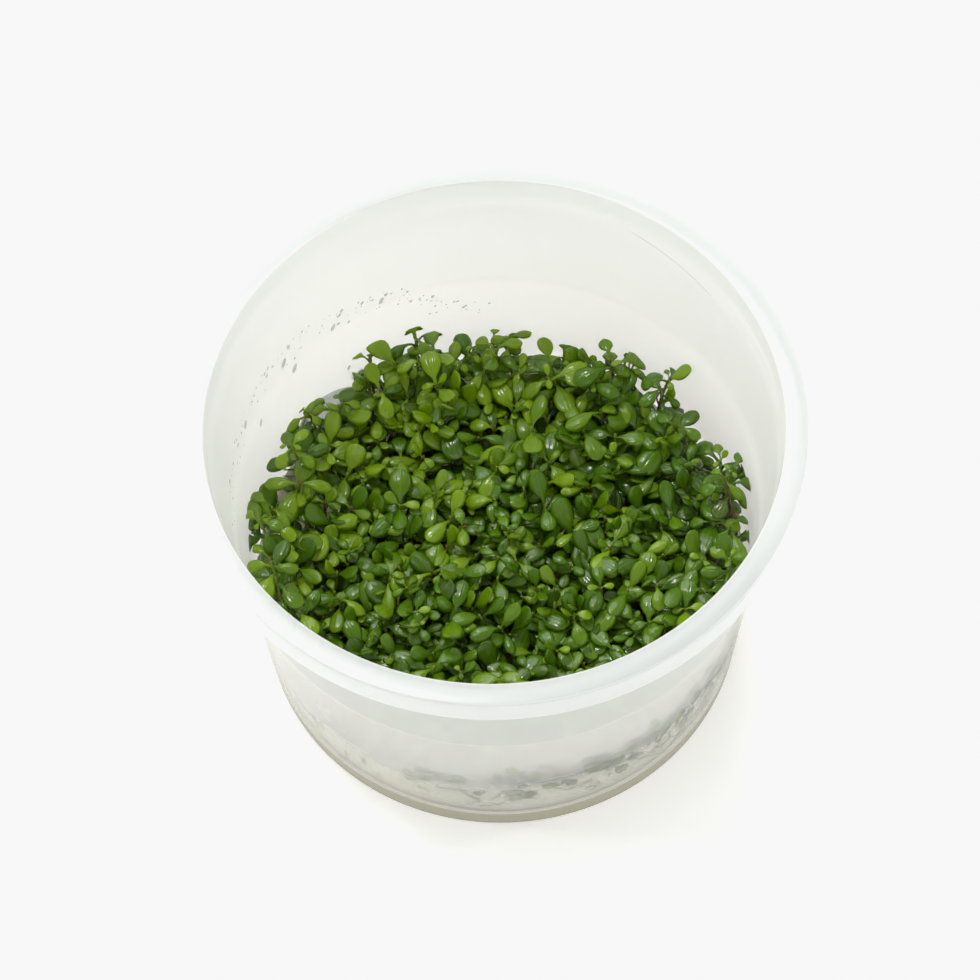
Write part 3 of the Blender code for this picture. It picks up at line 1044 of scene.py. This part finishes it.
def leaf_finish():
    """Leaf: young ones pale, old ones dark, paler below, with a wet gloss and fine veins."""
    finish = Finish("leaf_green")
    fact = {
        name: finish.node("Attribute", {"attribute_name": name}, out="Fac")
        for name in ("age", "under", "across", "kind", "tint")
    }
    mottle = finish.noise(MOTTLE, 1.0)
    youth = fact["age"] + 0.6 * (fact["tint"] - 0.5) + 0.2 * (mottle - 0.5)
    colour = finish.blend(youth.between(-0.6, -0.1), DEAD_BROWN, OLD_GREEN)
    colour = finish.blend(youth.between(0.0, 0.5), colour, LEAF_GREEN)
    colour = finish.blend(youth.between(0.5, 1.2), colour, YOUNG_GREEN)
    rib = 1 - fact["across"].size().between(0.04, 0.16)
    veins = (fact["across"] * 26 + mottle * 2).wave() * 0.5 + 0.5
    colour = finish.blend(rib * 0.10 + veins * 0.08, colour, YOUNG_GREEN)
    colour = finish.blend(fact["under"] * 0.8, colour, UNDER_GREEN)
    stalk = finish.blend((fact["tint"] + mottle * 0.3).between(0.75, 0.95), STALK_GREEN, STALK_RED)
    colour = finish.blend(fact["kind"].between(STEM - 0.6, STEM - 0.4), colour, stalk)
    colour = finish.blend(fact["kind"].between(ROOT - 0.6, ROOT - 0.4), colour, ROOT_WHITE)
    ridges = veins * 0.2 + mottle * 2.0 - rib * 0.6
    relief = finish.node("Bump", {}, {"Strength": 0.9, "Distance": 0.06 * MM, "Height": ridges})
    roughness = LEAF_ROUGHNESS + LEAF_MATTING * mottle
    sockets = {"Base Color": colour, "Roughness": roughness, "IOR": LEAF_INDEX}
    sockets |= {"Specular IOR Level": 0.6, "Normal": relief}
    skin = finish.node("BsdfPrincipled", {}, sockets)
    glow = finish.node("BsdfTranslucent", {}, {"Color": (*GLOW_GREEN, 1)})
    thin = LEAF_GLOW + fact["age"].between(-0.2, 0.8) * YOUNG_GLOW
    return finish.surface(finish.node("MixShader", {}, {0: thin, 1: skin, 2: glow}))


def clump_piece(name, growth, material):
    """A clump's mesh, with what the finish has to know of each point."""
    piece = mesh_piece(name, np.concatenate(growth.points), growth.faces, material)
    for fact, values in growth.facts.items():
        layer = piece.data.attributes.new(fact, "FLOAT", "POINT")
        layer.data.foreach_set("value", np.concatenate(values))
    return piece


def grow_clumps():
    """Grows every shoot into the clump whose solid stands nearest to it."""
    chance = random.Random(SHOOT_SEED)
    nodes = sorted(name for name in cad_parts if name.startswith("plantlet_clump"))
    middles = {name: sum(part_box(name), Vector()) / 2 for name in nodes}
    growths = {name: Growth() for name in nodes}
    room = Room()
    for place in shoot_places(chance):
        own = min(nodes, key=lambda name: (middles[name].xy - place).length)
        grow_shoot(growths[own], place, room, chance)
        lean_leaves(growths[own], place, chance)
        drop_litter(growths[own], place, chance)
        grow_roots(growths[own], place, chance)
    material = leaf_finish()
    for name, growth in growths.items():
        piece = clump_piece(name.replace("plantlet", "glossostigma"), growth, material)
        dress(piece, "leaf_green", name)


grow_clumps()

# The water. Drops have settled on the inner wall above the plants, mostly at the back on the
# left, where a thin film of water also joins the leaves to the wall. A few bubbles sit in the
# gel's edge.
DROP_SEED = 5
BUBBLE_SEED = 8
DROPS = 170
# The line that drops hang from: azimuths from the back in degrees and heights in millimetres
DROP_LINE = (
    (-104, -92, -78, -60, -45, -31, -20, -13, -8, 2),
    (39.0, 41.0, 43.5, 44.8, 44.4, 41.5, 40.3, 36.0, 33.5, 31.5),
)
# The few drops that have grown large: azimuth, height and size
RUN_DROPS = (
    (-52.4, 41.6, 0.62),
    (-49.9, 37.8, 0.60),
    (-37.3, 39.4, 0.50),
    (-24.5, 39.4, 0.48),
    (-70.0, 41.8, 0.52),
    (-64.8, 36.4, 0.50),
    (-35.4, 26.5, 0.35),
)
# Drops lie from the first azimuth to the second, most near the third, every fifth on the left
DROP_SPREAD = (-92, 2, -14)
DROP_LEFT = (-104, -60)
DROP_FALL = 2.4
DROP_OVER = 0.6
DROP_SMALL = 0.09
DROP_LARGE = 0.38
DROP_RARITY = 12
DROP_LONG = (0.9, 1.4)
DROP_SINK = 0.02 * MM
DROP_RINGS = 4
DROP_SIDES = 10
DROP_DOME = 0.4
# Painted shade: the drops' grey stands in for the darkening that their refraction gives
DROP_SHADE_GREY = (0.62, 0.64, 0.63)
DROP_CLEAR = 0.64
FILM_TOP = ((-60, -54, -50, -45, -40, -36, -31), (17.0, 22.2, 24.8, 24.4, 23.2, 21.4, 17.0))
FILM_FOOT = 16.9
FILM_COLUMNS = 25
FILM_ROWS = 7
FILM_OFF = 0.02 * MM
FILM_THICK = 0.10 * MM
# Painted shade: the film's grey stands in for the darkening that the water gives
FILM_SHADE_GREY = (0.62, 0.68, 0.62)
FILM_CLEAR = 0.60
WATER_ROUGHNESS = 0.06
WATER_CLOUDS = 900.0
WATER_INDEX = 1.33
# Painted highlight: the bubbles' white stands in for the light that they throw back
BUBBLE_HIGHLIGHT_WHITE = (0.95, 0.97, 0.95)
BUBBLE_CLEAR = 0.2
BUBBLES = 70
BUBBLE_SIZES = (0.12, 0.38)
BUBBLE_SPREAD = 0.7
# Where they sit: from and to which azimuth, and at what height
BUBBLE_SPANS = (
    (-163, -153, 19.0),
    (-142, -126, 18.0),
    (175, 180, 18.0),
    (-180, -175, 17.5),
    (120, 145, 16.0),
)


def wall_place(azimuth, height, inward=0.0):
    """A place on the inner wall. The azimuth is in degrees, from the back towards the right."""
    turn = math.radians(azimuth)
    reach = inner_wall(height) - inward
    return Vector((reach * math.sin(turn), reach * math.cos(turn), height))


def drop_mesh(place, azimuth, size, long, lean):
    """A flat dome of water on the wall: points and faces."""
    turn = math.radians(azimuth)
    inward = Vector((-math.sin(turn), -math.cos(turn), 0.0))
    along = Vector((math.cos(turn), -math.sin(turn), 0.0))
    up = Vector((0, 0, 1)) + along * lean
    points = []
    for ring in range(DROP_RINGS):
        lift = math.radians(90 * ring / (DROP_RINGS - 1))
        for side in range(DROP_SIDES):
            angle = math.tau * side / DROP_SIDES
            out = along * math.cos(angle) + up * math.sin(angle) * long
            dome = inward * DROP_DOME * math.sin(lift)
            points.append(place + size * (out * math.cos(lift) + dome))
    return points, strip_faces(DROP_RINGS, DROP_SIDES)


def join_drops(name, drops, material):
    """All the drops as one mesh."""
    points = []
    faces = []
    for own_points, own_faces in drops:
        faces += [tuple(corner + len(points) for corner in face) for face in own_faces]
        points += own_points
    dress(mesh_piece(name, points, faces, material), "clear_gel")


def settle_drops(chance):
    """The drops hang in a band that sinks towards the back: small ones, and a few large."""
    drops = []
    for number in range(DROPS):
        azimuth = chance.triangular(*DROP_SPREAD)
        if number % 5 == 0:
            azimuth = chance.uniform(*DROP_LEFT)
        line = float(np.interp(azimuth, *DROP_LINE))
        height = (line - abs(chance.gauss(0, DROP_FALL)) + DROP_OVER) * MM
        size = min(DROP_SMALL + chance.expovariate(DROP_RARITY), DROP_LARGE) * MM
        place = wall_place(azimuth, height, -DROP_SINK)
        drops.append(drop_mesh(place, azimuth, size, long=chance.uniform(*DROP_LONG), lean=0.3))
    for azimuth, height, size in RUN_DROPS:
        place = wall_place(azimuth, height * MM, -DROP_SINK)
        drops.append(drop_mesh(place, azimuth, size * MM, long=1.8, lean=0.35))
    return drops


def rise_bubbles(chance):
    """Bubbles of air that stick to the wall along the gel's edge."""
    bubbles = []
    for number in range(BUBBLES):
        low, high, line = chance.choice(BUBBLE_SPANS)
        azimuth = chance.uniform(low, high)
        place = wall_place(azimuth, (line + chance.gauss(0, BUBBLE_SPREAD)) * MM, -CLING)
        size = chance.uniform(*BUBBLE_SIZES) * MM
        bubbles.append(drop_mesh(place, azimuth, size, long=1.0, lean=0.0))
    return bubbles


def film_piece(material):
    """The film: a thin sheet of water, whose upper edge arches between the leaves."""
    points = []
    for azimuth in np.linspace(FILM_TOP[0][0], FILM_TOP[0][-1], FILM_COLUMNS):
        heights = np.linspace(FILM_FOOT, np.interp(azimuth, *FILM_TOP), FILM_ROWS) * MM
        points += [wall_place(azimuth, height, FILM_OFF) for height in heights]
        points += [wall_place(azimuth, height, FILM_OFF + FILM_THICK) for height in heights[::-1]]
    faces = strip_faces(FILM_COLUMNS, 2 * FILM_ROWS)
    dress(mesh_piece("water_film", points, faces, material), "clear_gel")


def water_finish(name, painted_colour, clear):
    """Water on milky plastic: part clear, with a sharp gloss. Its colour is painted: greyer than
    the wall on drops and film, painted shade, and white on bubbles, a painted highlight.
    """
    finish = Finish(name)
    roughness = WATER_ROUGHNESS + 0.02 * finish.noise(WATER_CLOUDS)
    sockets = {"Base Color": (*painted_colour, 1), "Roughness": roughness, "IOR": WATER_INDEX}
    skin = finish.node("BsdfPrincipled", {}, sockets)
    through = finish.node("BsdfTransparent", {}, {"Color": (1, 1, 1, 1)})
    return finish.surface(finish.node("MixShader", {}, {0: clear, 1: skin, 2: through}))


water = water_finish("water_drops", DROP_SHADE_GREY, DROP_CLEAR)
join_drops("water_drops", settle_drops(random.Random(DROP_SEED)), water)
film_piece(water_finish("water_film", FILM_SHADE_GREY, FILM_CLEAR))
air = water_finish("air_bubbles", BUBBLE_HIGHLIGHT_WHITE, BUBBLE_CLEAR)
join_drops("gel_bubbles", rise_bubbles(random.Random(BUBBLE_SEED)), air)
